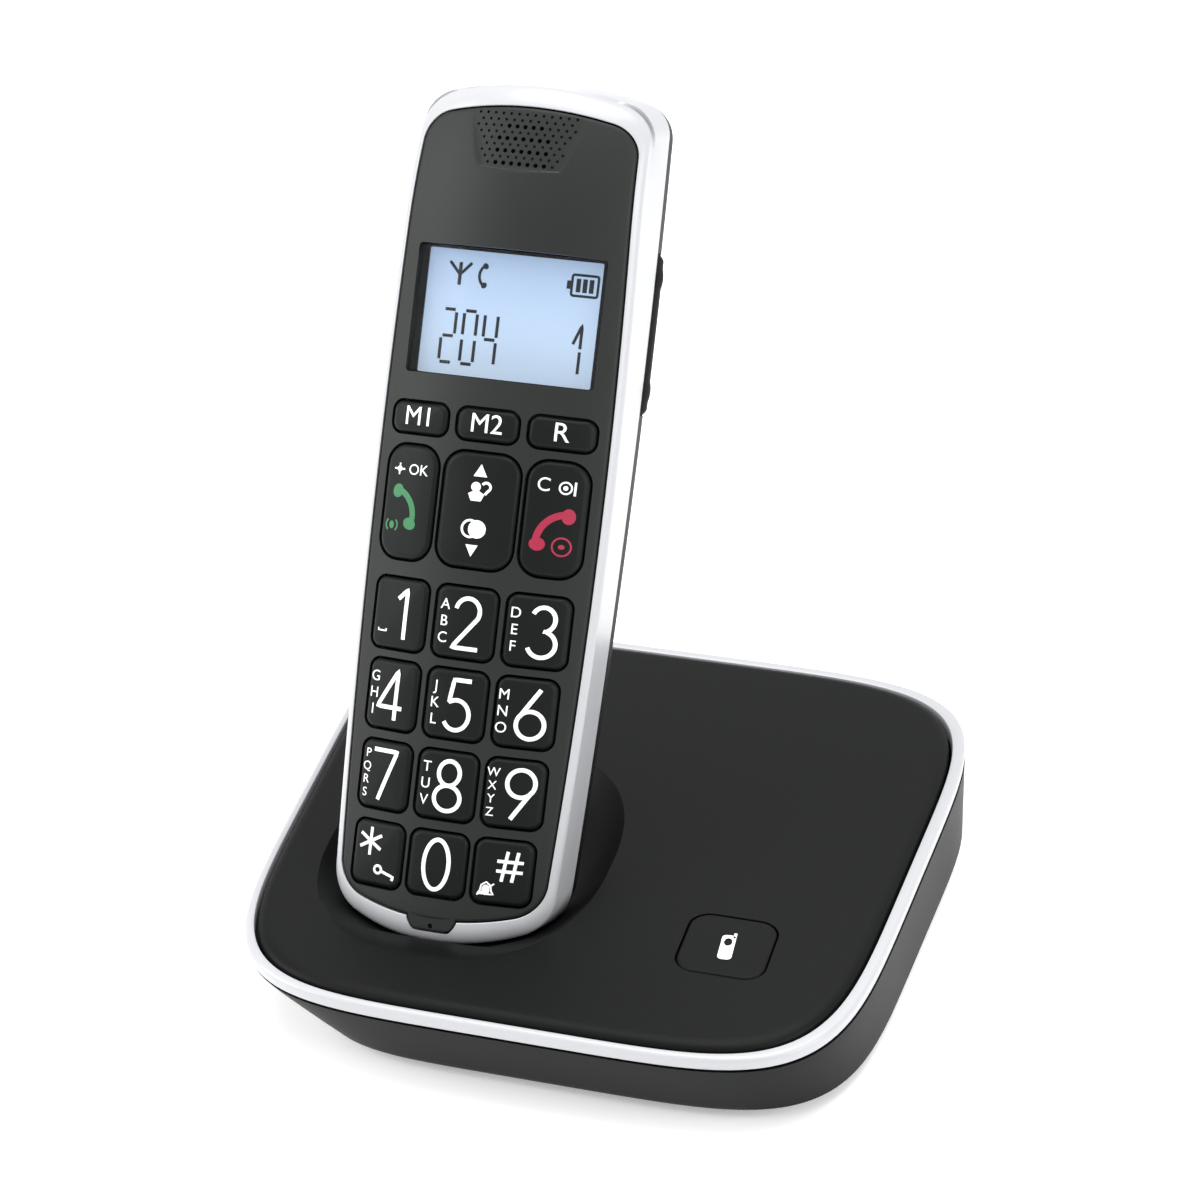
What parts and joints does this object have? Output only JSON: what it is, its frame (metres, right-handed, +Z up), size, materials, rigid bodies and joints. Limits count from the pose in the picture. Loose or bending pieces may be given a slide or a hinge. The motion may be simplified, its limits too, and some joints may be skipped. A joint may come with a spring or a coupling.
{
  "type": "cordless phone with base",
  "caption": "Cordless telephone handset with a large keypad and backlit display, standing in a low desktop charging base with a page button.",
  "frame": {"origin": "on the ground, within about 1 mm of the centre of the base's footprint", "axes": "+X to the right, +Y to the back, +Z up; the handset's face looks to -Y and up"},
  "size_m": [0.1334, 0.137, 0.1606],
  "materials": {
    "face_plastic": "satin charcoal moulded plastic with a fine grain",
    "key_plastic": "satin near-black key caps with printed legends",
    "base_plastic": "satin black moulded plastic with a fine grain",
    "back_plastic": "matte black moulded plastic",
    "silver_trim": "pearl white glossy trim",
    "clear_window": "clear moulded window",
    "display_glass": "pale blue backlit display with dark segments",
    "circuit_board": "green solder mask",
    "rubber": "soft matte black",
    "steel": "plated steel",
    "contact_metal": "gold-plated contact",
    "cell_wrap": "printed plastic sleeve over a metal can",
    "socket_plastic": "black moulded plastic"
  },
  "bodies": {
    "base": {"base_top_cover": "base_plastic", "base_rim": "silver_trim", "base_bottom_cover": "base_plastic", "page_switch": "socket_plastic", "base_circuit_board": "circuit_board", "line_socket": "socket_plastic", "power_socket": "socket_plastic", "foot_1": "rubber", "foot_2": "rubber", "foot_3": "rubber", "foot_4": "rubber", "base_screw_1": "steel", "base_screw_2": "steel", "base_screw_3": "steel", "base_screw_4": "steel", "contact_holder": "socket_plastic"},
    "handset": {"handset_front_cover": "face_plastic", "handset_frame": "silver_trim", "handset_back_cover": "back_plastic", "display_lens": "clear_window", "display_module": "display_glass", "handset_circuit_board": "circuit_board", "keypad_mat": "rubber", "earpiece": "socket_plastic", "microphone": "steel", "ringer_speaker": "socket_plastic", "cell_left": "cell_wrap", "cell_right": "cell_wrap", "cell_spring_left": "steel", "cell_spring_right": "steel", "cell_link": "steel", "charge_pad_left": "contact_metal", "charge_pad_right": "contact_metal", "handset_screw_1": "steel", "handset_screw_2": "steel"},
    "key_m1": {"key_m1": "key_plastic"},
    "key_m2": {"key_m2": "key_plastic"},
    "key_r": {"key_r": "key_plastic"},
    "key_talk": {"key_talk": "key_plastic"},
    "key_navigate": {"key_navigate": "key_plastic"},
    "key_end": {"key_end": "key_plastic"},
    "key_1": {"key_1": "key_plastic"},
    "key_2": {"key_2": "key_plastic"},
    "key_3": {"key_3": "key_plastic"},
    "key_4": {"key_4": "key_plastic"},
    "key_5": {"key_5": "key_plastic"},
    "key_6": {"key_6": "key_plastic"},
    "key_7": {"key_7": "key_plastic"},
    "key_8": {"key_8": "key_plastic"},
    "key_9": {"key_9": "key_plastic"},
    "key_star": {"key_star": "key_plastic"},
    "key_0": {"key_0": "key_plastic"},
    "key_hash": {"key_hash": "key_plastic"},
    "volume_rocker": {"volume_rocker": "back_plastic"},
    "battery_door": {"battery_door": "back_plastic"},
    "page_button": {"page_button": "base_plastic"},
    "charge_pin_left": {"charge_pin_left": "contact_metal"},
    "charge_pin_right": {"charge_pin_right": "contact_metal"}
  },
  "joints": [
    {"name": "handset_lift", "type": "slide", "parent": "base", "child": "handset", "axis": [0, 0.4741, 0.8805], "range_m": [0, 0.12]},
    {"name": "key_m1_press", "type": "slide", "parent": "handset", "child": "key_m1", "axis": [0, 0.8805, -0.4741], "range_m": [0, 0.001], "stiffness_N_per_m": 500},
    {"name": "key_m2_press", "type": "slide", "parent": "handset", "child": "key_m2", "axis": [0, 0.8805, -0.4741], "range_m": [0, 0.001], "stiffness_N_per_m": 500},
    {"name": "key_r_press", "type": "slide", "parent": "handset", "child": "key_r", "axis": [0, 0.8805, -0.4741], "range_m": [0, 0.001], "stiffness_N_per_m": 500},
    {"name": "key_talk_press", "type": "slide", "parent": "handset", "child": "key_talk", "axis": [0, 0.8805, -0.4741], "range_m": [0, 0.001], "stiffness_N_per_m": 500},
    {"name": "key_navigate_rock", "type": "hinge", "parent": "handset", "child": "key_navigate", "pos_m": [-0.0234, 0.00121, 0.08833], "axis": [1, 0, 0], "range_deg": [-2.5, 2.5], "stiffness_Nm_per_rad": 0.05},
    {"name": "key_end_press", "type": "slide", "parent": "handset", "child": "key_end", "axis": [0, 0.8805, -0.4741], "range_m": [0, 0.001], "stiffness_N_per_m": 500},
    {"name": "key_1_press", "type": "slide", "parent": "handset", "child": "key_1", "axis": [0, 0.8805, -0.4741], "range_m": [0, 0.001], "stiffness_N_per_m": 500},
    {"name": "key_2_press", "type": "slide", "parent": "handset", "child": "key_2", "axis": [0, 0.8805, -0.4741], "range_m": [0, 0.001], "stiffness_N_per_m": 500},
    {"name": "key_3_press", "type": "slide", "parent": "handset", "child": "key_3", "axis": [0, 0.8805, -0.4741], "range_m": [0, 0.001], "stiffness_N_per_m": 500},
    {"name": "key_4_press", "type": "slide", "parent": "handset", "child": "key_4", "axis": [0, 0.8805, -0.4741], "range_m": [0, 0.001], "stiffness_N_per_m": 500},
    {"name": "key_5_press", "type": "slide", "parent": "handset", "child": "key_5", "axis": [0, 0.8805, -0.4741], "range_m": [0, 0.001], "stiffness_N_per_m": 500},
    {"name": "key_6_press", "type": "slide", "parent": "handset", "child": "key_6", "axis": [0, 0.8805, -0.4741], "range_m": [0, 0.001], "stiffness_N_per_m": 500},
    {"name": "key_7_press", "type": "slide", "parent": "handset", "child": "key_7", "axis": [0, 0.8805, -0.4741], "range_m": [0, 0.001], "stiffness_N_per_m": 500},
    {"name": "key_8_press", "type": "slide", "parent": "handset", "child": "key_8", "axis": [0, 0.8805, -0.4741], "range_m": [0, 0.001], "stiffness_N_per_m": 500},
    {"name": "key_9_press", "type": "slide", "parent": "handset", "child": "key_9", "axis": [0, 0.8805, -0.4741], "range_m": [0, 0.001], "stiffness_N_per_m": 500},
    {"name": "key_star_press", "type": "slide", "parent": "handset", "child": "key_star", "axis": [0, 0.8805, -0.4741], "range_m": [0, 0.001], "stiffness_N_per_m": 500},
    {"name": "key_0_press", "type": "slide", "parent": "handset", "child": "key_0", "axis": [0, 0.8805, -0.4741], "range_m": [0, 0.001], "stiffness_N_per_m": 500},
    {"name": "key_hash_press", "type": "slide", "parent": "handset", "child": "key_hash", "axis": [0, 0.8805, -0.4741], "range_m": [0, 0.001], "stiffness_N_per_m": 500},
    {"name": "volume_rocker_rock", "type": "hinge", "parent": "handset", "child": "volume_rocker", "pos_m": [-0.0019, 0.03308, 0.11376], "axis": [0, -0.8805, 0.4741], "range_deg": [-2.5, 2.5], "stiffness_Nm_per_rad": 0.05},
    {"name": "battery_door_slide", "type": "slide", "parent": "handset", "child": "battery_door", "axis": [0, 0.8805, -0.4741], "range_m": [0, 0.012]},
    {"name": "page_button_press", "type": "slide", "parent": "base", "child": "page_button", "axis": [0, 0, -1], "range_m": [0, 0.0012], "stiffness_N_per_m": 500},
    {"name": "charge_pin_left_press", "type": "slide", "parent": "base", "child": "charge_pin_left", "axis": [0, 0.4741, 0.8805], "range_m": [-0.0012, 0], "stiffness_N_per_m": 300},
    {"name": "charge_pin_right_press", "type": "slide", "parent": "base", "child": "charge_pin_right", "axis": [0, 0.4741, 0.8805], "range_m": [-0.0012, 0], "stiffness_N_per_m": 300}
  ]
}
